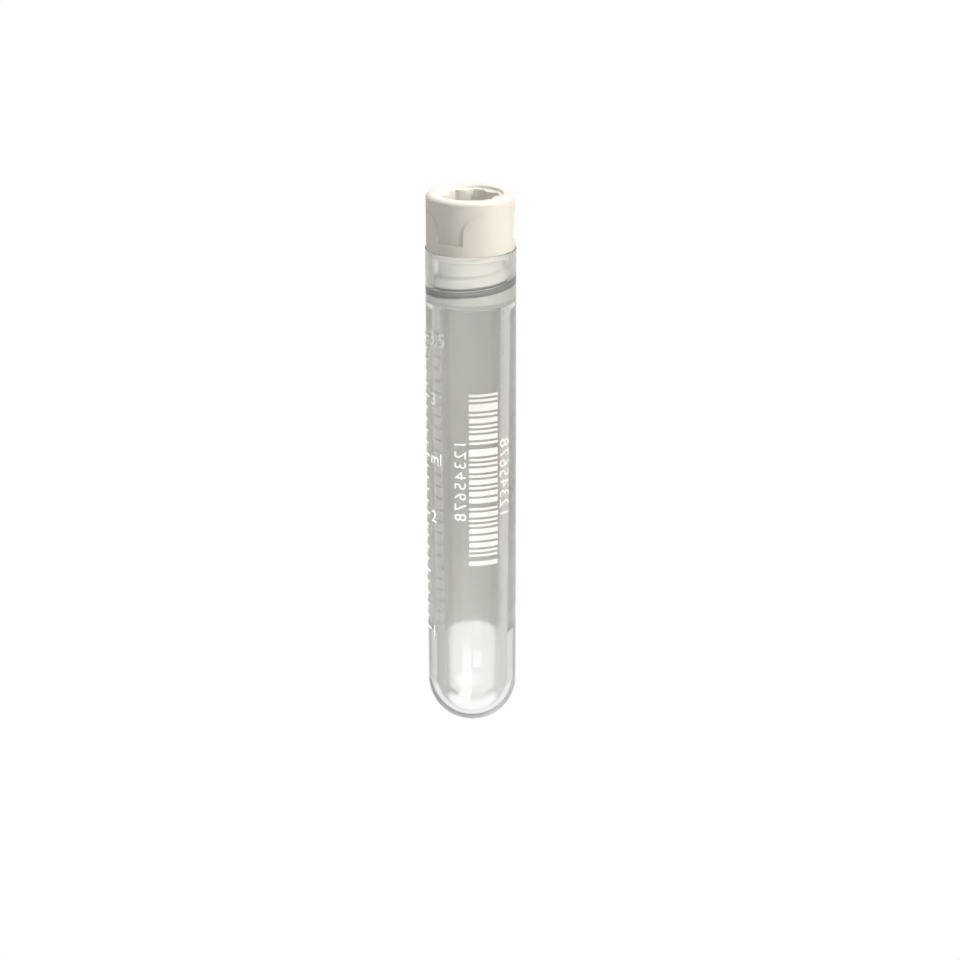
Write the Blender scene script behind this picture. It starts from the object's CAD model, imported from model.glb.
# %% [markdown]
# # A screw-cap cryovial
# A cryovial is a small clear tube that keeps a biological sample in deep cold. Three moulded
# things make it: the tube, a coloured or cream cap whose plug screws into the tube's mouth, and
# a silicone ring that seals between them. Scale, bars and writing field are printed on the wall.
# The CAD part comes first and sets every place and size. The vial stands on its cap, with
# z = 0 at the cap's flat outer face, the dome at the top and the front towards -Y.

# %% Load the frame
import math

import bmesh
import bpy
from mathutils import Matrix, Vector


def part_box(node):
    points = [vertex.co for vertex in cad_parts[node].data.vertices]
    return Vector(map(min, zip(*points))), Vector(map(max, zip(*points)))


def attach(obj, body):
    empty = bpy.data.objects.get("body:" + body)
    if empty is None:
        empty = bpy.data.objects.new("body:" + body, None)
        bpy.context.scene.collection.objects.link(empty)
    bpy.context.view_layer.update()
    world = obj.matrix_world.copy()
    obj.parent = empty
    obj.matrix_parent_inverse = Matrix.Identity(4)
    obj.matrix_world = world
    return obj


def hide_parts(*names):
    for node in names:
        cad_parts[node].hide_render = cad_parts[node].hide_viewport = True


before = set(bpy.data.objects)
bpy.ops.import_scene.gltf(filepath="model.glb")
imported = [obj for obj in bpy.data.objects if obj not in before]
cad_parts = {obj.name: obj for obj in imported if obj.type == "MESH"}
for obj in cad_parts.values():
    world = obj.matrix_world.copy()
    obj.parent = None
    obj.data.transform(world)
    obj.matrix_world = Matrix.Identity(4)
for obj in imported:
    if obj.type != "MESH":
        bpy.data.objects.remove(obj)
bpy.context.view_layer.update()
MM = 0.001  # one millimetre in metres; lengths below are in millimetres unless they say so
tube_low, tube_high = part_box("tube")
cap_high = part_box("cap")[1]

# %% [markdown]
# ## Where things are on a round part
# On a tube it is easier to say a bearing than an x and a y. A bearing is an angle round the
# axis: 0 is the front, and it grows towards -X. One function turns bearing, radius and height
# into a point, another reads them off a point, and whatever is bent or wrapped uses both.

# %% Bearings
def on_axis(bearing, radius=1.0, height=0.0):
    """The point at a bearing in degrees, a radius and a height in metres."""
    a = math.radians(bearing)
    return Vector((-radius * math.sin(a), -radius * math.cos(a), height))


def where(point):
    """A point's bearing in degrees, from -180 to 180, and its radius and height in mm."""
    bearing = math.degrees(math.atan2(-point.x, -point.y))
    return bearing, math.hypot(point.x, point.y) / MM, point.z / MM


print("bearing 90 points to", tuple(round(c, 2) for c in on_axis(90)))

# %% [markdown]
# ## Camera
# A long lens seen from a little above the cap's level keeps the sides of the tube almost
# parallel. The vial stands on its cap here, so to look down on the cap the camera is below the
# floor and upside down, and the floor is clear from that side.

# %% Camera
camera_place = Vector((0, -380.548, -91.595)) * MM
camera_pitch = math.radians(19.244)
camera_pan = math.radians(0.178)
camera_roll = math.radians(-0.158)
sensor_mm = 36.0
lens_mm = 107.817
clip_near, clip_far = 0.01, 10  # in metres

forward = Vector((
    -math.sin(camera_pan) * math.cos(camera_pitch),
    math.cos(camera_pan) * math.cos(camera_pitch),
    math.sin(camera_pitch),
))
level_right = forward.cross(Vector((0, 0, -1))).normalized()
level_up = level_right.cross(forward)
camera_right = level_right * math.cos(camera_roll) + level_up * math.sin(camera_roll)
camera_up = level_up * math.cos(camera_roll) - level_right * math.sin(camera_roll)

camera_data = bpy.data.cameras.new("studio_camera")
camera_data.lens, camera_data.sensor_width = lens_mm, sensor_mm
camera_data.clip_start, camera_data.clip_end = clip_near, clip_far
camera = bpy.data.objects.new("studio_camera", camera_data)
bpy.context.scene.collection.objects.link(camera)
camera_axes = Matrix((camera_right, camera_up, -forward)).transposed()
camera.matrix_world = Matrix.Translation(camera_place) @ camera_axes.to_4x4()
bpy.context.scene.camera = camera
bpy.context.scene.view_settings.view_transform = "Standard"
print("camera", [round(v, 4) for v in camera_place], "lens", lens_mm)

# %% [markdown]
# ## Modelling helpers
# Round mouldings are drawn as half a section, one corner at a time, and then spun round the
# axis, the way a turner sees them. Drawing is extruding one vertex; an arc is a spin of that
# vertex; a rounded corner is a vertex bevel. Everything is deselected before each step,
# because an operator acts on whatever is selected.

# %% Selecting and switching modes
same_place = 0.01  # corners closer than this are the same corner
spin_merge = 0.0005  # and vertices closer than this become one where a spin closes


def only(obj):
    """Make obj the one selected and active object."""
    bpy.ops.object.select_all(action="DESELECT")
    obj.select_set(True)
    bpy.context.view_layer.objects.active = obj


def edit(obj):
    """Open obj in edit mode, with nothing selected in it."""
    only(obj)
    bpy.ops.object.mode_set(mode="EDIT")
    bpy.ops.mesh.select_all(action="DESELECT")


def done():
    """Back to object mode."""
    bpy.ops.object.mode_set(mode="OBJECT")


def pick_corners(obj, wanted):
    """Select the vertices whose place passes the test, in edit mode."""
    mesh = bmesh.from_edit_mesh(obj.data)
    bpy.ops.mesh.select_all(action="DESELECT")
    found = [v for v in mesh.verts if wanted(v.co)]
    for v in found:
        v.select = True
    mesh.select_flush_mode()
    bmesh.update_edit_mesh(obj.data)
    return len(found)


# %% Drawing a half section and spinning it
def start_section(name, radius, height):
    """A mesh of one vertex, in edit mode, ready to be extruded into a line."""
    bpy.ops.object.select_all(action="DESELECT")
    bpy.ops.mesh.primitive_plane_add(size=MM, location=(0, 0, 0))
    obj = bpy.context.object
    obj.name = obj.data.name = name
    edit(obj)
    bpy.ops.mesh.select_all(action="SELECT")
    bpy.ops.mesh.merge(type="CENTER")
    bpy.ops.transform.translate(value=(radius * MM, 0, height * MM))
    obj["at"] = (radius, height)
    return obj


def line_to(obj, radius, height):
    """Extrude the last vertex to a radius and height."""
    at = obj["at"]
    step = ((radius - at[0]) * MM, 0, (height - at[1]) * MM)
    bpy.ops.mesh.extrude_vertices_move(TRANSFORM_OT_translate={"value": step})
    obj["at"] = (radius, height)


def arc_to(obj, centre_r, centre_z, degrees, steps):
    """Spin the last vertex about a point of the section's plane. Positive turns from +Z to +X."""
    bpy.ops.mesh.spin(
        steps=steps, angle=-math.radians(degrees),
        center=(centre_r * MM, 0, centre_z * MM), axis=(0, 1, 0),
    )
    a, (r, z) = math.radians(degrees), obj["at"]
    r, z = r - centre_r, z - centre_z
    obj["at"] = (
        centre_r + r * math.cos(a) + z * math.sin(a),
        centre_z - r * math.sin(a) + z * math.cos(a),
    )


def lines_to(obj, corners):
    """Draw from corner to corner, each a radius and a height."""
    for radius, height in corners:
        line_to(obj, radius, height)


def round_corners(obj, corners):
    """Bevel corners of the section, each given as radius, height, size and segments."""
    for radius, height, size, segments in corners:
        place = Vector((radius * MM, 0, height * MM))
        if pick_corners(obj, lambda co: (co - place).length < same_place * MM):
            bpy.ops.mesh.bevel(
                offset=size * MM, offset_type="OFFSET", segments=segments, affect="VERTICES"
            )


# %% Filling, spinning and turning faces outwards
def fill():
    """Close the drawn outline with a face, in edit mode."""
    bpy.ops.mesh.select_all(action="SELECT")
    bpy.ops.mesh.edge_face_add()


def face_outwards():
    """Turn every face to point out of its skin, in edit mode."""
    bpy.ops.mesh.select_all(action="SELECT")
    bpy.ops.mesh.normals_make_consistent(inside=False)


def spin_round(obj, steps):
    """Turn the section into a closed skin round the Z axis."""
    bpy.ops.mesh.select_all(action="SELECT")
    bpy.ops.mesh.spin(steps=steps, angle=math.tau, center=(0, 0, 0), axis=(0, 0, 1))
    bpy.ops.mesh.select_all(action="SELECT")
    bpy.ops.mesh.remove_doubles(threshold=spin_merge * MM)
    face_outwards()
    done()
    del obj["at"]


# %% Finishing a mesh
def apply_modifier(obj, kind, **settings):
    """Add a modifier with its settings and apply it."""
    only(obj)
    modifier = obj.modifiers.new(kind.lower(), kind)
    for key, value in settings.items():
        setattr(modifier, key, value)
    bpy.ops.object.modifier_apply(modifier=modifier.name)


def smooth(obj, degrees=30):
    """Smooth shading that keeps sharp edges, weighted so that broad faces stay true."""
    only(obj)
    bpy.ops.object.shade_smooth_by_angle(angle=math.radians(degrees))
    apply_modifier(obj, "WEIGHTED_NORMAL", keep_sharp=True)


def report(obj):
    """Print what a piece measures, and how many of its edges are open."""
    mesh = bmesh.new()
    mesh.from_mesh(obj.data)
    gaps = sum(not e.is_manifold for e in mesh.edges)
    triangles = sum(len(f.verts) - 2 for f in mesh.faces)
    volume = mesh.calc_volume(signed=True) / MM**3
    mesh.free()
    print(f"{obj.name}: {triangles} triangles, {volume:.1f} mm3, open edges {gaps}")


# %% [markdown]
# ## The tube
# The real tube is one clear moulding: a plain outside with a round bottom, a wide mouth with
# one turn of thread standing inward from its wall, a sloping shoulder and a slightly tapered
# bore. For light to bend correctly it must be one closed skin, so the thread isn't a loose
# coil pushed into the wall. Its ridge is drawn in the section like a plain ring, the section is
# spun, and then the ring is sheared along the axis by its bearing, which turns it into a screw.

# %% Sizes of the tube
tube_r = 6.25
mouth_r = 5.25
core_r = 4.3
mouth_depth = 6.9
shoulder_height = 0.8
dome_wall = 2.3
rim_z = round(tube_low.z / MM, 3)
tip_z = round(tube_high.z / MM, 3)
dome_z = tip_z - tube_r
shoulder_z = rim_z + mouth_depth
core_z = shoulder_z + shoulder_height
draft = math.tan(math.radians(0.4))
bottom_z = tip_z - dome_wall
core_end_r = (core_r - (bottom_z - core_z) * draft) / (1 - draft)
core_end_z = bottom_z - core_end_r

pitch = 2.8
thread_front_z = rim_z + 5.24  # the crest's height at the front
crest_r = mouth_r - 0.65
crest_half = 0.25
flank = 0.4  # how much a ridge widens for each millimetre down its flank
foot_half = crest_half + flank * (mouth_r - crest_r)
crest_low, crest_high = thread_front_z - crest_half, thread_front_z + crest_half
foot_low, foot_high = thread_front_z - foot_half, thread_front_z + foot_half
print("bore ends at radius", round(core_end_r, 2), "and height", round(core_end_z, 2))

# %% Tube section
tube_shell = start_section("tube_shell", 0, tip_z)
arc_to(tube_shell, 0, dome_z, degrees=90, steps=30)
lines_to(tube_shell, (
    (tube_r, rim_z),
    (mouth_r, rim_z),
    (mouth_r, foot_low),
    (crest_r, crest_low),
    (crest_r, crest_high),
    (mouth_r, foot_high),
    (mouth_r, shoulder_z),
    (core_r, core_z),
    (core_end_r, core_end_z),
))
arc_to(tube_shell, 0, core_end_z, degrees=-90, steps=24)
round_corners(tube_shell, (
    (tube_r, rim_z, 0.13, 4),
    (mouth_r, rim_z, 0.13, 4),
    (crest_r, crest_low, 0.24, 5),
    (mouth_r, foot_low, 0.16, 4),
    (crest_r, crest_high, 0.24, 5),
    (mouth_r, foot_high, 0.16, 4),
    (mouth_r, shoulder_z, 0.08, 3),
    (core_r, core_z, 0.2, 4),
))
spin_round(tube_shell, steps=240)
report(tube_shell)

# %% Shear the ring into a screw thread
thread_from, thread_to = -150.0, 160.0  # bearings of the ridge's two ends
thread_fade = 25.0  # the degrees that an end takes to rise
highest_shift = 0.85  # the ridge climbs no further than this towards the shoulder


def ease(x):
    """A smooth step from 0 to 1 while x goes from 0 to 1."""
    x = min(1.0, max(0.0, x))
    return x * x * (3 - 2 * x)


def ridge_height(bearing):
    """1 where the ridge is whole, easing to 0 at its two ends."""
    inside = min(bearing - thread_from, thread_to - bearing)
    return ease(inside / thread_fade)


def ridge_shift(bearing):
    """How far the ridge is moved along the axis, in millimetres."""
    if bearing < thread_from:
        bearing += 360
    if bearing <= thread_to:
        return min(-pitch * bearing / 360, highest_shift)
    back = (bearing - thread_to) / (thread_from + 360 - thread_to)
    low = -pitch * thread_to / 360
    return low + (highest_shift - low) * ease(back)


ring_margin = 0.2  # the roundings of the feet reach this far past them
moved = 0
for v in tube_shell.data.vertices:
    b, r, z = where(v.co)
    in_ring = foot_low - ring_margin < z < foot_high + ring_margin
    if in_ring and r < mouth_r + same_place:
        r = mouth_r - (mouth_r - r) * ridge_height(b)
        v.co = on_axis(b, r * MM, (z + ridge_shift(b)) * MM)
        moved += 1
smooth(tube_shell)
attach(tube_shell, "tube")
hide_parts("tube")
report(tube_shell)
print("thread vertices moved:", moved)

# %% [markdown]
# ## The cap
# The cap is one opaque moulding: a head that the fingers or a screwing tool turn, and below it
# a hollow plug. The tool drives a socket with six rounded ribs, so one radius describes the
# socket at every bearing: the nearer of the pocket wall and the rib that stands there. The cap
# is spun like the tube, and the socket's rings are then pressed in to that radius.

# %% Cap section
head_r = 6.1
recess_r = 4.45
recess_depth = 0.4
pocket_r = 3.9
socket_depth = 6.8
plug_r = 4.45
plug_nose_r = 3.5
plug_hollow_r = 3.0
plug_top_z = round(cap_high.z / MM, 3)
nose_z = plug_top_z - 0.9  # where the nose starts to taper
hollow_z = plug_top_z - 1.0  # the plug's end is a millimetre thick

cap_moulding = start_section("cap_moulding", 0, plug_top_z)
lines_to(cap_moulding, (
    (plug_nose_r, plug_top_z),
    (plug_r, nose_z),
    (plug_r, rim_z),
    (head_r, rim_z),
    (head_r, 0),
    (recess_r, 0),
    (recess_r, recess_depth),
    (pocket_r, recess_depth),
    (pocket_r, socket_depth),
    (plug_hollow_r, socket_depth),
    (plug_hollow_r, hollow_z),
    (0, hollow_z),
))
round_corners(cap_moulding, (
    (plug_nose_r, plug_top_z, 0.2, 3),
    (plug_r, nose_z, 0.15, 3),
    (head_r, rim_z, 0.08, 2),
    (head_r, 0, 0.6, 8),
    (recess_r, 0, 0.1, 3),
    (recess_r, recess_depth, 0.06, 2),
    (pocket_r, recess_depth, 0.1, 3),
    (pocket_r, socket_depth, 0.1, 2),
    (plug_hollow_r, hollow_z, 0.4, 3),
))
spin_round(cap_moulding, steps=360)
report(cap_moulding)

# %% Press the ribs of the drive socket
rib_r = 1.68
rib_tip_r = 3.15
rib_axis_r = rib_tip_r + rib_r
rib_count = 6
rib_bearing = 13.0
socket_skin_from, socket_skin_to = plug_hollow_r + 0.2, pocket_r + 0.15


def socket_radius(bearing):
    """The socket's radius at a bearing: its pockets, or the rib that bulges in there."""
    step = 360 / rib_count
    off = (bearing - rib_bearing + step / 2) % step - step / 2
    across = rib_axis_r * math.sin(math.radians(off))
    if abs(across) >= rib_r:
        return pocket_r
    near = rib_axis_r * math.cos(math.radians(off)) - math.sqrt(rib_r**2 - across**2)
    return min(pocket_r, near)


pressed = 0
for v in cap_moulding.data.vertices:
    b, r, z = where(v.co)
    in_socket = recess_depth - same_place < z < socket_depth + same_place
    if in_socket and socket_skin_from < r < socket_skin_to:
        v.co = on_axis(b, r * socket_radius(b) / pocket_r * MM, v.co.z)
        pressed += 1
print("socket vertices pressed:", pressed)

# %% [markdown]
# ## The plug's thread
# The plug carries a turn and a quarter of thread. Here the ridge overlaps itself in bearing, so
# it can't be a sheared ring. The Screw modifier is made for it: it carries a small section round
# the axis while it climbs. Both ends are then capped, sunk into the plug, and joined on by a
# Boolean, so that the cap stays one closed skin.

# %% Section of the plug's thread
plug_crest_r = 5.1
plug_root_r = 4.25
plug_crest_half = 0.65
plug_thread_from, plug_thread_to = -226.0, 215.0
plug_front_z = thread_front_z - pitch / 2  # in the middle of the mouth's groove

plug_root_half = plug_crest_half + flank * (plug_crest_r - plug_root_r)
section_low = plug_root_half - plug_crest_half
section_high = plug_root_half + plug_crest_half
plug_thread = start_section("plug_thread", plug_root_r, 0)
lines_to(plug_thread, (
    (plug_crest_r, section_low),
    (plug_crest_r, section_high),
    (plug_root_r, 2 * plug_root_half),
))
fill()
round_corners(plug_thread, (
    (plug_crest_r, section_low, 0.15, 3),
    (plug_crest_r, section_high, 0.15, 3),
))
done()

# %% Climb round the plug
# the section is drawn towards +X, which is bearing -90, and starts at the thread's last bearing
start_z = plug_front_z - pitch * plug_thread_to / 360 - plug_root_half
start_turn = Matrix.Rotation(math.radians(-90 - plug_thread_to), 4, "Z")
plug_thread.data.transform(Matrix.Translation((0, 0, start_z * MM)) @ start_turn)
thread_arc = plug_thread_to - plug_thread_from
apply_modifier(
    plug_thread, "SCREW", axis="Z", angle=math.radians(thread_arc),
    screw_offset=pitch * thread_arc / 360 * MM, steps=220, render_steps=220,
    use_merge_vertices=False, use_smooth_shade=False,
)
report(plug_thread)

# %% Cap the ridge's ends and sink them into the plug
edit(plug_thread)
bpy.ops.mesh.select_non_manifold()
bpy.ops.mesh.edge_face_add()
face_outwards()
done()
plug_fade = 25.0
plug_start = 0.12  # how far into its rise the ridge already is where it ends
for v in plug_thread.data.vertices:
    b, r, z = where(v.co)
    # a bearing is met on two passes, so the one whose ridge is nearest in height is taken
    b = min((b + 360 * k for k in (-1, 0, 1)),
            key=lambda x: abs(plug_front_z - pitch * x / 360 - z))
    inside = min(b - plug_thread_from, plug_thread_to - b)
    height = max(0.0, r - plug_root_r) * ease(inside / plug_fade + plug_start)
    v.co = on_axis(b, (plug_root_r + height) * MM, v.co.z)
report(plug_thread)

# %% Join the ridge to the cap
def combine(body, tool, operation):
    """Boolean of two closed skins. The tool is used up."""
    apply_modifier(body, "BOOLEAN", object=tool, operation=operation, solver="EXACT")
    bpy.data.objects.remove(tool)


combine(cap_moulding, plug_thread, "UNION")
report(cap_moulding)

# %% [markdown]
# ## The grip panels
# Three panels are let into the side of the head so that fingers and capping machines can grip
# it. A panel is upright-sided beside its ledge, flares out towards the cap's face, and gets
# shallower until it runs out into the round side. Its cutter is the flat outline pushed out
# radially; a cone is taken from it first, and what is left is exactly the room of the panel.

# %% Panel outline and cutter
panel_half_w = 2.0
panel_side = 1.7
panel_flare = 2.2
panel_depth = 0.35
panel_count = 3
panel_bearing = -29.0
ledge_z = rim_z - 1.5
flare_z = ledge_z - panel_side
flare_half_w = panel_half_w + panel_flare
runout_z = ledge_z - panel_side - panel_flare - 0.8  # here the panel meets the round side
cutter_low_z = runout_z - 0.5  # the cutter goes a little past all that it cuts
cutter_r = head_r + 1

panel_cutter = start_section("panel_cutter", -panel_half_w, ledge_z)
line_to(panel_cutter, -panel_half_w, flare_z)
arc_to(panel_cutter, -flare_half_w, flare_z, degrees=90, steps=12)
lines_to(panel_cutter, (
    (-flare_half_w, cutter_low_z),
    (flare_half_w, cutter_low_z),
    (flare_half_w, flare_z - panel_flare),
))
arc_to(panel_cutter, flare_half_w, flare_z, degrees=90, steps=12)
line_to(panel_cutter, panel_half_w, ledge_z)
fill()
bpy.ops.mesh.select_all(action="SELECT")
bpy.ops.mesh.extrude_region_move(TRANSFORM_OT_translate={"value": (0, -cutter_r * MM, 0)})
face_outwards()
done()
report(panel_cutter)

# %% Take the cone from the cutter
cone_spare = 1.0  # the cone goes on for this much past both ends of the panel
bpy.ops.object.select_all(action="DESELECT")
bpy.ops.mesh.primitive_cone_add(
    vertices=360, radius1=head_r * MM, radius2=(head_r - panel_depth) * MM,
    depth=(ledge_z - runout_z) * MM, location=(0, 0, (ledge_z + runout_z) / 2 * MM),
)
panel_floor = bpy.context.object
bpy.ops.object.transform_apply(location=True, rotation=True, scale=True)
edit(panel_floor)
pick_corners(panel_floor, lambda co: co.z > (ledge_z - same_place) * MM)
bpy.ops.mesh.extrude_region_move(TRANSFORM_OT_translate={"value": (0, 0, cone_spare * MM)})
pick_corners(panel_floor, lambda co: co.z < (runout_z + same_place) * MM)
bpy.ops.mesh.extrude_region_move(TRANSFORM_OT_translate={"value": (0, 0, -cone_spare * MM)})
done()
combine(panel_cutter, panel_floor, "DIFFERENCE")
report(panel_cutter)

# %% Cut the panels
for k in range(panel_count):
    cutter = panel_cutter.copy()
    cutter.data = panel_cutter.data.copy()
    bpy.context.scene.collection.objects.link(cutter)
    turn_angle = math.radians(-panel_bearing - 360 * k / panel_count)
    cutter.data.transform(Matrix.Rotation(turn_angle, 4, "Z"))
    combine(cap_moulding, cutter, "DIFFERENCE")
bpy.data.objects.remove(panel_cutter)
smooth(cap_moulding)
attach(cap_moulding, "cap")
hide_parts("cap")
report(cap_moulding)

# %% [markdown]
# ## The sealing ring
# A soft silicone ring sits round the root of the plug, against the head. It is hardly seen, as
# a pale band through the clear wall, but its rounded section is what catches the light there.
# Its section is a closed outline. It is filled so that its corners can be rounded, the face is
# taken away again, and the outline is spun.

# %% Sealing ring
seal_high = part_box("seal_ring")[1]
ring_outer_r = round(seal_high.x / MM, 2)
ring_inner_r = plug_r + 0.05  # it sits free on the plug
ring_top_z = round(seal_high.z / MM, 2)

sealing_ring = start_section("sealing_ring", ring_inner_r, rim_z)
lines_to(sealing_ring, (
    (ring_outer_r, rim_z),
    (ring_outer_r, ring_top_z),
    (ring_inner_r, ring_top_z),
))
fill()
round_corners(sealing_ring, (
    (ring_inner_r, rim_z, 0.2, 5),
    (ring_inner_r, ring_top_z, 0.2, 5),
    (ring_outer_r, rim_z, 0.2, 5),
    (ring_outer_r, ring_top_z, 0.2, 5),
))
bpy.ops.mesh.select_all(action="SELECT")
bpy.ops.mesh.delete(type="ONLY_FACE")
spin_round(sealing_ring, steps=180)
smooth(sealing_ring)
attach(sealing_ring, "seal")
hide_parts("seal_ring")
report(sealing_ring)

# %% [markdown]
# ## Numbers on the scale
# The tenths of a millilitre are numbered at 1, 2, 3 and 3.5, and the unit stands at 2.5. Ink on
# a curved wall has to follow it. Each number is set as flat text, made a mesh, sliced by planes
# both ways so that it has edges to bend at, and wrapped: its x and y become a bearing and a
# height. The two rows of plain counting digits beside the bars are wrapped the same way, but
# lie along the tube, with the tops of their figures away from the bars.

# %% Wrapping text
ink_r = tube_r + 0.06
ink_sink = 0.01  # the ink starts this far inside the wall, so that no gap shows
text_slice = 0.3  # flat facets no wider than this
text_merge = 0.001


def slice_across(obj, step):
    """Cut a flat mesh by planes across x and across y, so that it can bend."""
    edit(obj)
    for axis in (0, 1):
        places = [v.co[axis] for v in obj.data.vertices]
        count = int((max(places) - min(places)) / step)
        for k in range(1, count + 1):
            bpy.ops.mesh.select_all(action="SELECT")
            plane_co, plane_no = [0.0] * 3, [0.0] * 3
            plane_co[axis], plane_no[axis] = min(places) + k * step, 1.0
            bpy.ops.mesh.bisect(plane_co=plane_co, plane_no=plane_no)
    done()


def wrap_text(name, words, height, bearing, z, right=(1, 0), up=(0, 1), spread=1.0):
    """Printed text on the wall, with its height and the bearing and z of its middle.

    right and up say where its own axes go, each as (bearing, -z).
    """
    bpy.ops.object.select_all(action="DESELECT")
    bpy.ops.object.text_add(location=(0, 0, 0))
    obj = bpy.context.object
    obj.data.body = words
    obj.data.align_x = "CENTER"
    obj.data.space_character = spread
    obj.data.extrude = 0.5  # both ways, so the text is 1 thick and is scaled to the ink
    obj.data.resolution_u = 6
    bpy.ops.object.convert(target="MESH")
    obj = bpy.context.object
    obj.name = obj.data.name = name
    tall = max(v.co.y for v in obj.data.vertices)
    size = height / tall * MM
    thick = (ink_r - tube_r + ink_sink) * MM
    obj.data.transform(
        Matrix.Diagonal((size, size, thick, 1)) @ Matrix.Translation((0, -tall / 2, 0.5))
    )
    edit(obj)
    bpy.ops.mesh.select_all(action="SELECT")
    bpy.ops.mesh.remove_doubles(threshold=text_merge * MM)
    done()
    slice_across(obj, text_slice * MM)
    for v in obj.data.vertices:
        across = (v.co.x * right[0] + v.co.y * up[0]) / MM
        along = (v.co.x * right[1] + v.co.y * up[1]) / MM
        r = tube_r - ink_sink + v.co.z / MM
        v.co = on_axis(bearing + math.degrees(across / tube_r), r * MM, (z - along) * MM)
    edit(obj)
    face_outwards()
    done()
    return obj


def join(name, parts):
    """Make one printed piece of several."""
    bpy.ops.object.select_all(action="DESELECT")
    for part in parts:
        part.select_set(True)
    bpy.context.view_layer.objects.active = parts[0]
    bpy.ops.object.join()
    parts[0].name = parts[0].data.name = name
    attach(parts[0], "tube")
    report(parts[0])
    return parts[0]


# %% Scale numbers
# name, words, height of a figure, and the bearing and z of the middle
scale_numbers = join("scale_numbers", [
    wrap_text("number_3_5", "3.5", 1.95, -49.5, 19.5),
    wrap_text("number_3", "3", 1.75, -56, 28.15),
    wrap_text("unit_ml", "ml", 1.75, -51.5, 36.75),
    wrap_text("number_2", "2", 1.75, -57, 45.35),
    wrap_text("number_1", "1", 1.75, -57, 62.6),
])

# %% Counting digits beside the bars
digits = "12345678"
counting_digits = join("counting_digits", [
    wrap_text("digits_left", digits, 1.65, -14.5, 39.3, right=(0, -1), up=(-1, 0), spread=1.27),
    wrap_text("digits_right", digits, 1.75, 46.5, 39.4, right=(0, 1), up=(1, 0), spread=1.16),
])

# %% [markdown]
# ## A small language for finishes
# A finish is a network of shader nodes. Written node by node it is hard to read, so two small
# classes help. `Finish` adds any node with one method. `Value` wraps what a node gives, so
# that arithmetic on numbers adds the Math nodes by itself.

# %% Finish and Value
class Value:
    """What a node gives: a number, colour, direction or shader that changes over a surface."""

    def __init__(self, finish, socket):
        self.finish, self.socket = finish, socket

    def math(self, operation, first, second):
        """Add a Math node."""
        return self.finish.node("Math", {"operation": operation}, {0: first, 1: second})

    def __add__(self, other):
        return self.math("ADD", self, other)

    def __sub__(self, other):
        return self.math("SUBTRACT", self, other)

    def __rsub__(self, other):
        return self.math("SUBTRACT", other, self)

    def __mul__(self, other):
        return self.math("MULTIPLY", self, other)

    __radd__, __rmul__ = __add__, __mul__


class Finish:
    """A material or a world, and its nodes."""

    def __init__(self, owner):
        owner.use_nodes = True
        self.owner, self.tree = owner, owner.node_tree
        self.tree.nodes.clear()

    def node(self, kind, settings=None, inputs=None, output=0):
        """Add a node with its settings and inputs, and return one of its outputs."""
        made = self.tree.nodes.new("ShaderNode" + kind)
        for key, value in (settings or {}).items():
            setattr(made, key, value)
        for key, value in (inputs or {}).items():
            if isinstance(value, Value):
                self.tree.links.new(value.socket, made.inputs[key])
            else:
                made.inputs[key].default_value = value
        return Value(self, made.outputs[output]) if len(made.outputs) else made

    def blend(self, factor, first, second):
        """Mix two colours."""
        return self.node("Mix", {"data_type": "RGBA"}, {0: factor, 6: first, 7: second}, 2)

    def ease(self, value, low, high, to_low=0.0, to_high=1.0):
        """A smooth step from to_low to to_high while value goes from low to high."""
        return self.node(
            "MapRange", {"interpolation_type": "SMOOTHSTEP"},
            {"Value": value, 1: low, 2: high, 3: to_low, 4: to_high},
        )

    def between(self, value, low, high, soft):
        """1 while value is between low and high, with edges of a soft width inside them."""
        return self.ease(value, low, low + soft) * self.ease(value, high, high - soft)

    def place(self, scale=(1, 1, 1)):
        """Where a point is on the object, in millimetres, times a scale for each axis."""
        spot = self.node("TexCoord", output=3)
        return self.node("Mapping", {}, {"Vector": spot, "Scale": [c / MM for c in scale]})

    def along(self, axis):
        """A point's X, Y or Z on the object, in millimetres."""
        return self.node("SeparateXYZ", {}, {0: self.place()}, "XYZ".index(axis))

    def across(self):
        """A point's place across the axis, in millimetres: its x and y, with no height."""
        return self.node("VectorMath", {"operation": "MULTIPLY"}, {0: self.place(), 1: (1, 1, 0)})

    def radius(self):
        """How far a point is from the axis, in millimetres."""
        return self.node("VectorMath", {"operation": "LENGTH"}, {0: self.across()}, 1)

    def dot(self, first, second):
        """How far one direction goes along another."""
        return self.node("VectorMath", {"operation": "DOT_PRODUCT"}, {0: first, 1: second}, 1)

    def noise(self, scale, detail=2.0, stretch=(1, 1, 1), seed=0.0):
        """Noise of about 0 to 1 with scale waves in a millimetre."""
        return self.node(
            "TexNoise", {"noise_dimensions": "4D"},
            {"Vector": self.place(stretch), "W": seed, "Scale": scale, "Detail": detail},
        )

    def bump(self, height, strength, distance):
        """A normal for a rough skin, whose relief is about distance millimetres."""
        return self.node(
            "Bump", {}, {"Height": height, "Strength": strength, "Distance": distance * MM}
        )

    def surface(self, shader):
        """Give the material its shader, and return it."""
        self.node("OutputMaterial", {}, {"Surface": shader})
        return self.owner


def new_finish(name):
    return Finish(bpy.data.materials.new(name))


def rgb(red, green, blue):
    return (red, green, blue, 1.0)


def grey(level):
    return rgb(level, level, level)


def wear(obj, material):
    """Make material the only one of obj."""
    obj.data.materials.clear()
    obj.data.materials.append(material)
    print(obj.name, "wears", material.name)


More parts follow.
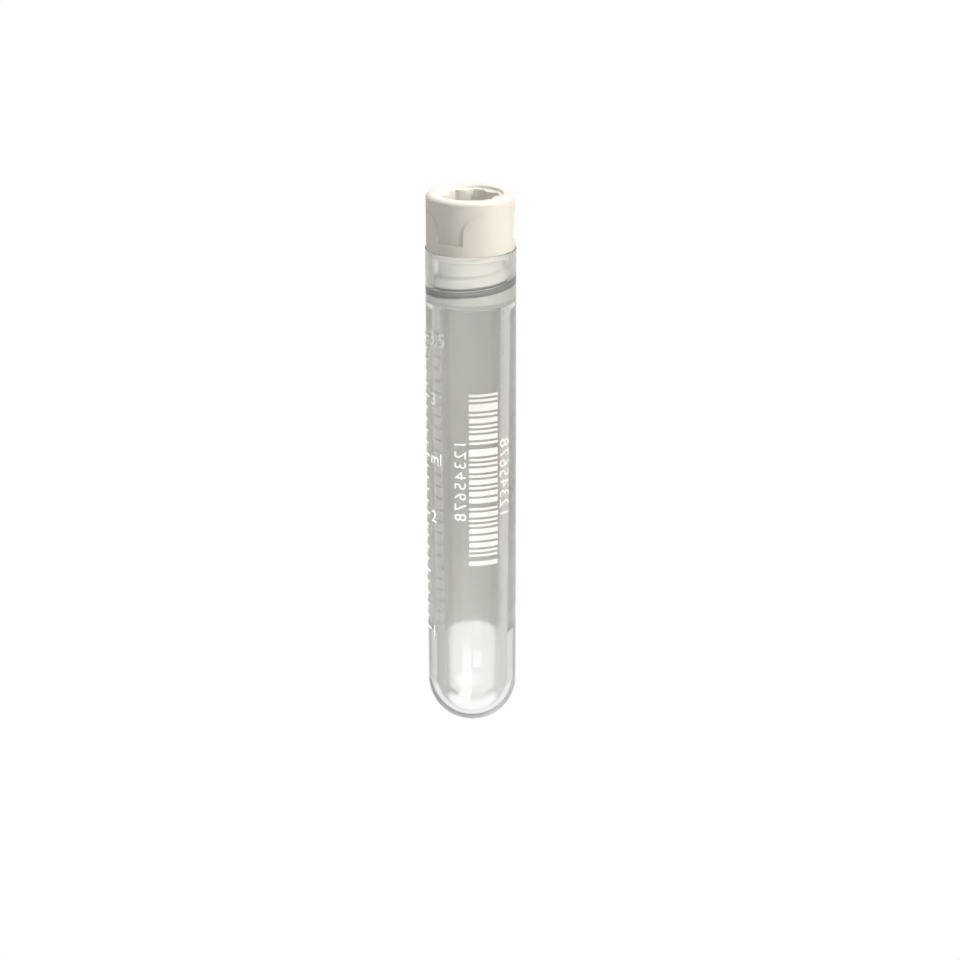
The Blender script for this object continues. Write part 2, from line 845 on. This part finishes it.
# %% [markdown]
# ## Clear polypropylene
# The tube is clear plastic: it bends light by an index of 1.49 and takes a trace of blue out
# of it. A moulded wall is never as true as glass. Faint lines run along it where it was drawn
# off the core pin, and a fine waviness is left by the melt, so the bump has both. The pin is
# dull but for its polished end, so the bore is rougher than the outside, and it takes some
# light where it is met at a slant. At the mouth and near the dome the plastic cools slowly,
# which clouds it a little. Clouding shows where light goes a long way through the wall, which
# is at its edges, and Layer Weight finds those.

# %% Clear plastic, with its dull and clouded parts
wall_index = 1.49
skin = 0.2  # how near to a skin a point is still on it
dull_from, dull_to = rim_z + 0.1, 12.6  # the mouth, as far as the thread
polished_z = 63.0  # the pin's polished end starts here
polish, dullness = (0.015, 0.045), (0.14, 0.24)  # least and most roughness
mouth_cloud_z, mouth_cloud_share = 14.0, 0.45  # the clouded part at the mouth ends here
cloud_from, cloud_to = 61.0, 71.5  # the clouded part near the dome
cloud_slant, bore_slant = (0.33, 0.55), (0.24, 0.42)  # where each sets in and is full
wall_tone, wall_tone_deep = rgb(0.985, 0.985, 0.972), rgb(0.972, 0.972, 0.958)
cloud_tone, cloud_tone_scale_side = rgb(0.66, 0.66, 0.647), rgb(0.5, 0.5, 0.485)
bore_tone = rgb(0.8, 0.795, 0.78)


def clear_plastic(f, at, inside, haze):
    """Transparent plastic. at is x, y and z, and inside is 1 on the inner skin."""
    x, _, z = at
    bore = f.ease(z, core_z, core_z + 0.3) * f.ease(z, polished_z + 3, polished_z)
    dull = inside * (f.between(z, dull_from, dull_to, 0.3) + bore)
    roughness = f.ease(haze, 0.3, 0.8, *polish) + dull * f.ease(haze, 0.3, 0.8, *dullness)

    slant = f.node("LayerWeight", {}, {"Blend": 0.5}, 1)
    near_mouth = f.ease(z, mouth_cloud_z + 0.5, mouth_cloud_z - 0.5) * mouth_cloud_share
    ends = near_mouth + f.between(z, cloud_from, cloud_to, 1.5)
    cloud = f.blend(f.ease(x, -1, 1), cloud_tone, cloud_tone_scale_side)
    tone = f.blend(f.ease(haze, 0.35, 0.7), wall_tone, wall_tone_deep)
    tone = f.blend(ends * f.ease(slant, *cloud_slant) * (1 - inside), tone, cloud)
    tone = f.blend(inside * bore * f.ease(slant, *bore_slant), tone, bore_tone)

    drawn_lines = f.noise(0.9, stretch=(1, 1, 0.03), seed=1.0)
    waves = f.noise(0.35, detail=1.0, stretch=(1, 1, 0.5), seed=2.0)
    return f.node("BsdfPrincipled", {}, {
        "Base Color": tone,
        "Roughness": roughness,
        "IOR": wall_index,
        "Transmission Weight": 1.0,
        "Normal": f.bump(drawn_lines * 0.6 + waves * 0.4, strength=0.25, distance=0.02),
    })


print("dull from", round(dull_from, 2), "to", dull_to, "and from", core_z, "to", polished_z)

# %% [markdown]
# ## Frosted thread and collar
# The pin's thread groove and the collar next to it were left matt. There the wall is frosted,
# not clear. The thread is a grey band with a fine dark and a fine light edge. It is found by the
# height from its crest, followed round the helix, and it fades where the ridge does. The collar
# is milky. It reaches from the thread to the bore, so its start climbs with the thread.

# %% Frosted plastic
band_dark, band_light, band_grey, band_end = -0.63, -0.52, -0.3, 0.46  # from the crest
band_edge = 0.06  # how soft the lines are
collar_start = thread_front_z + band_end
collar_slope = pitch / 4 / mouth_r
collar_share = 0.92
fades_in, fades_out = (-2.6, -2.2), (2.77, 2.35)  # bearings in radians
line_dark, line_light = grey(0.08), grey(0.95)
thread_grey, thread_grey_pale = grey(0.3), grey(0.36)
collar_tone = rgb(0.7, 0.7, 0.672)
print("collar from", round(collar_start, 2), "to", core_z)


def frosted_plastic(f, at, inside, haze):
    """Frosted plastic, and how much of the wall it is, from 0 to 1."""
    x, y, z = at
    bearing = f.node("Math", {"operation": "ARCTAN2"}, {0: x * -1.0, 1: y * -1.0})
    depth = z + bearing * (pitch / math.tau) - thread_front_z
    whole = inside * f.ease(bearing, *fades_in) * f.ease(bearing, *fades_out)
    band = whole * f.between(depth, band_dark, band_end + 0.08, 0.07)
    light_from = f.ease(depth, band_light, band_light + band_edge)
    shades = f.blend(light_from, line_dark, line_light)
    grey_from = f.ease(depth, band_grey, band_grey + band_edge)
    shades = f.blend(grey_from, shades, f.blend(haze, thread_grey, thread_grey_pale))

    collar = f.ease(z - x * collar_slope, collar_start - 0.06, collar_start + 0.04)
    collar = inside * collar * f.ease(z, core_z + 0.1, core_z - 0.05)
    frosted = f.node("BsdfPrincipled", {}, {
        "Base Color": f.blend(band, collar_tone, shades),
        "Roughness": 0.35,
        "IOR": wall_index,
    })
    return frosted, band + collar * collar_share


# %% Clear wall
def clear_wall():
    f = new_finish("clear_wall")
    at = [f.along(axis) for axis in "XYZ"]
    inside = f.ease(f.radius(), tube_r - skin, mouth_r + skin)
    haze = f.noise(1.6, detail=3.0, seed=3.0)
    clear = clear_plastic(f, at, inside, haze)
    frosted, share = frosted_plastic(f, at, inside, haze)
    return f.surface(f.node("MixShader", {}, {0: share, 1: clear, 2: frosted}))


wear(tube_shell, clear_wall())

# %% [markdown]
# ## Cream cap plastic
# The cap is filled polypropylene: a warm off-white with a soft satin. Its colour wanders
# slightly where the melt flowed, and its mould was spark eroded, which leaves a fine even
# grain. The plug is thin and takes light from both sides, so its tone is a little less warm.

# %% Cap plastic
cream, deep_cream = rgb(0.81, 0.788, 0.736), rgb(0.783, 0.757, 0.7)
plug_cream = rgb(0.79, 0.782, 0.755)


def cap_plastic():
    f = new_finish("cream_polypropylene")
    flow = f.noise(0.22, detail=3.0, stretch=(1, 1, 0.4), seed=4.0)
    grain = f.noise(14.0, seed=5.0)
    tone = f.blend(f.ease(flow, 0.3, 0.7), cream, deep_cream)
    tone = f.blend(f.ease(f.along("Z"), rim_z - 0.1, rim_z + 0.3), tone, plug_cream)
    shader = f.node("BsdfPrincipled", {}, {
        "Base Color": tone,
        "Roughness": f.ease(grain, 0.3, 0.7, 0.42, 0.54),
        "IOR": 1.5,
        "Normal": f.bump(grain, strength=0.12, distance=0.01),
    })
    return f.surface(shader)


wear(cap_moulding, cap_plastic())

# %% [markdown]
# ## Silicone
# The ring is milky silicone rubber. It is soft, slightly greasy and picks up dust, so its
# roughness is uneven.

# %% Silicone
milky, dusty = rgb(0.86, 0.86, 0.83), rgb(0.8, 0.8, 0.77)


def silicone():
    f = new_finish("milky_silicone")
    dust = f.noise(6.0, detail=4.0, seed=6.0)
    shader = f.node("BsdfPrincipled", {}, {
        "Base Color": f.blend(dust, milky, dusty),
        "Roughness": f.ease(dust, 0.3, 0.7, 0.35, 0.5),
        "Normal": f.bump(dust, strength=0.1, distance=0.01),
    })
    return f.surface(shader)


wear(sealing_ring, silicone())

# %% [markdown]
# ## Printing ink
# The ink is thick white screen ink, baked on. It is chalky, and it is thinner and greyer in
# spots, where the screen's mesh held it back. The back of a print, seen through the wall, is
# duller than its front, so the tone follows which way a face looks. The writing field is two
# coats, and the under one shows through the clear wall. One finish makes both of them: the
# radius says which coat a point is on.

# %% Ink of the scale, the bars and the figures
thin_white, full_white = rgb(0.9, 0.9, 0.885), rgb(0.95, 0.95, 0.935)
back_white = rgb(0.85, 0.85, 0.84)


def white_ink():
    f = new_finish("white_ink")
    screen = f.noise(9.0, detail=3.0, seed=7.0)
    normal = f.node("TexCoord", output=1)
    outwards = f.ease(f.dot(normal, f.across()), -0.5, 0.5)
    front = f.blend(f.ease(screen, 0.25, 0.6), thin_white, full_white)
    shader = f.node("BsdfPrincipled", {}, {
        "Base Color": f.blend(outwards, back_white, front),
        "Roughness": f.ease(screen, 0.3, 0.7, 0.55, 0.75),
        "Normal": f.bump(screen, strength=0.3, distance=0.02),
    })
    return f.surface(shader)


# %% Ink of the writing field
top_thin, top_full = rgb(0.88, 0.88, 0.865), rgb(0.95, 0.95, 0.935)
under_thin, under_full = rgb(0.9, 0.895, 0.88), rgb(0.95, 0.945, 0.93)


def field_ink():
    f = new_finish("field_ink")
    screen = f.noise(7.0, detail=4.0, seed=8.0)
    full = f.ease(screen, 0.25, 0.7)
    top_coat = f.blend(full, top_thin, top_full)
    under_coat = f.blend(full, under_thin, under_full)
    on_top = f.ease(f.radius(), tube_r + 0.015, tube_r + 0.035)
    shader = f.node("BsdfPrincipled", {}, {
        "Base Color": f.blend(on_top, under_coat, top_coat),
        "Roughness": f.ease(screen, 0.3, 0.7, 0.6, 0.8),
        "Normal": f.bump(screen, strength=0.25, distance=0.015),
    })
    return f.surface(shader)


# %% Print the pieces
printed = white_ink()
for piece in (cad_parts["scale_marks"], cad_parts["code_bars"],
              scale_numbers, counting_digits):
    wear(piece, printed)
wear(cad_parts["writing_field"], field_ink())

# %% [markdown]
# ## Studio
# Clear plastic shows only what is round it, so the room is painted for it, in directions:
#
# * a pale backdrop straight behind, fading into grey sides;
# * a dim band low down, on the side away from the scale, which draws dark lines in the thread
#   and the dome;
# * a white ceiling, which fills the dome;
# * in front, a wide low softbox that lights the inside of the print, and a small pane whose
#   reflection is the highlight on the dome.
#
# Opaque parts get a plain dim level from the room, and the camera itself sees white.

# %% Tones and directions of the room
side_tone, scale_side_tone = rgb(0.67, 0.66, 0.625), rgb(0.51, 0.505, 0.48)
side_end_tone = rgb(0.6, 0.6, 0.58)
backdrop_tone = grey(0.93)
low_band_tone = rgb(0.3, 0.3, 0.295)
front_tone = rgb(0.72, 0.72, 0.71)
softbox_tone, softbox_tone_scale_side = rgb(2.35, 2.33, 2.25), rgb(1.65, 1.65, 1.62)
ceiling_tone = grey(1.0)
pane_tone = grey(4.5)
plain_level = rgb(0.34, 0.335, 0.32)
backdrop_way = (0, 0.93, 0.37)
front_way = (-0.3, -1, 0)
room_edge = 0.02


# %% Room
def studio_room():
    """Paint the world by the direction that a ray points in."""
    world = bpy.data.worlds.new("studio")
    bpy.context.scene.world = world
    f = Finish(world)
    way = f.node("TexCoord", output=0)

    def toward(*direction):
        """1 for a ray that points in a direction, 0 across it and -1 against it."""
        return f.dot(way, Vector(direction).normalized())

    up, scale_side, front = toward(0, 0, 1), toward(1, 0, 0), toward(0, -1, 0)
    room = f.blend(f.ease(scale_side, -0.1, 0.1), side_tone, scale_side_tone)
    room = f.blend(f.ease(scale_side, 0.75, 0.95), room, side_end_tone)
    room = f.blend(f.ease(toward(*backdrop_way), 0.86, 0.985), room, backdrop_tone)
    low_band = f.ease(up, 0.24, 0.13) * f.ease(scale_side, 0.45, 0.0)
    room = f.blend(low_band, room, low_band_tone)
    softbox = f.blend(f.ease(scale_side, 0.5, -0.2), softbox_tone_scale_side, softbox_tone)
    ahead = f.blend(f.ease(up, 0.05, -0.15), front_tone, softbox)
    room = f.blend(f.ease(toward(*front_way), 0.25, 0.5), room, ahead)
    room = f.blend(f.ease(up, 0.6, 0.8), room, ceiling_tone)
    pane = f.between(scale_side, 0.05, 0.55, room_edge) * f.ease(front, 0.2, 0.22)
    pane = pane * f.between(up, 0.39, 0.82, room_edge)
    room = f.blend(pane, room, pane_tone)
    room = f.blend(f.node("LightPath", output=2), room, plain_level)  # diffuse rays
    colour = f.blend(f.node("LightPath", output=0), room, grey(1.0))  # camera rays
    light = f.node("Background", {}, {"Color": colour, "Strength": 1.0})
    f.node("OutputWorld", {}, {"Surface": light})
    print("room made")


studio_room()

# %% [markdown]
# ## Lamps
# The lamps are soft. The warm key stands on the side away from the scale, a little on the
# cap's side. A cool one lights the cap's face from below the floor. A third hangs over the dome
# and lights the floor. A small one with a narrow spread, like a softbox with a grid, reaches
# the print on the scale's side and not the cap. Rays need many bounces here, since they run
# round inside the wall before they leave it.

# %% Bounces
cycles = bpy.context.scene.cycles
cycles.max_bounces = cycles.transmission_bounces = 48
cycles.glossy_bounces = 32
print("bounces", cycles.max_bounces)


# %% Lamps
def lamp(name, place, look_at, size, power, colour=(1, 1, 1)):
    """An area lamp. Its place, width and height are in metres, and its power in watts."""
    data = bpy.data.lights.new(name, "AREA")
    data.shape, data.size, data.size_y = "RECTANGLE", *size
    data.energy, data.color = power, colour
    obj = bpy.data.objects.new(name, data)
    bpy.context.scene.collection.objects.link(obj)
    obj.location = place
    obj.rotation_mode = "QUATERNION"
    obj.rotation_quaternion = (look_at - place).to_track_quat("-Z", "Y")
    obj.visible_camera = False
    obj.visible_transmission = False
    print(name, "lamp", power, "W")
    return obj


warm, cool = (1.0, 0.935, 0.82), (0.97, 0.985, 1.0)
middle = Vector((0, 0, tip_z / 2 * MM))
cap_face = Vector((0, 0, 0))
scale_middle = middle + Vector((0, 0, 10 * MM))
lamp("key", middle + on_axis(62, 0.6, -0.2), middle, (0.3, 0.3), 2.85, warm)
lamp("face", Vector((-0.09, 0.1, -0.6)), cap_face, (0.25, 0.25), 3.15, cool)
over = lamp("over", Vector((0, 0.1, 0.75)), middle, (0.5, 0.5), 3.3)
strip = lamp("strip", scale_middle + on_axis(-62, 0.16), scale_middle, (0.04, 0.03), 0.0056)
strip.data.spread = math.radians(24)
over.visible_glossy = strip.visible_glossy = False

# %% [markdown]
# ## Floor
# The floor is a plain pale plane that takes the vial's shadow. It fades out with distance, so
# that it has no edge, and it is clear from below, where the main view looks from. It hangs a
# hair under the cap's face, so that the two faces don't lie in one plane.

# %% Floor
floor_size = 0.8  # in metres
floor_drop = 0.05
fade_from, fade_to = 90, 320
floor_tone, floor_tone_pale = grey(0.9), grey(0.92)


def floor_finish():
    f = new_finish("pale_floor")
    distance = f.node("VectorMath", {"operation": "LENGTH"}, {0: f.place()}, 1)
    mottle = f.noise(0.05, detail=3.0, seed=9.0)
    paint = f.node("BsdfPrincipled", {}, {
        "Base Color": f.blend(mottle, floor_tone, floor_tone_pale),
        "Roughness": 0.9,
        "Specular IOR Level": 0.0,
    })
    clear = f.node("BsdfTransparent", {}, {})
    from_below = f.node("NewGeometry", output=6)
    faded = f.ease(distance, fade_from, fade_to)
    hidden = f.node("Math", {"operation": "MAXIMUM"}, {0: faded, 1: from_below})
    return f.surface(f.node("MixShader", {}, {0: hidden, 1: paint, 2: clear}))


bpy.ops.object.select_all(action="DESELECT")
bpy.ops.mesh.primitive_plane_add(size=floor_size, location=(0, 0, -floor_drop * MM))
floor = bpy.context.object
floor.name = "floor"
wear(floor, floor_finish())
for kind in ("diffuse", "glossy", "transmission", "shadow"):
    setattr(floor, "visible_" + kind, False)
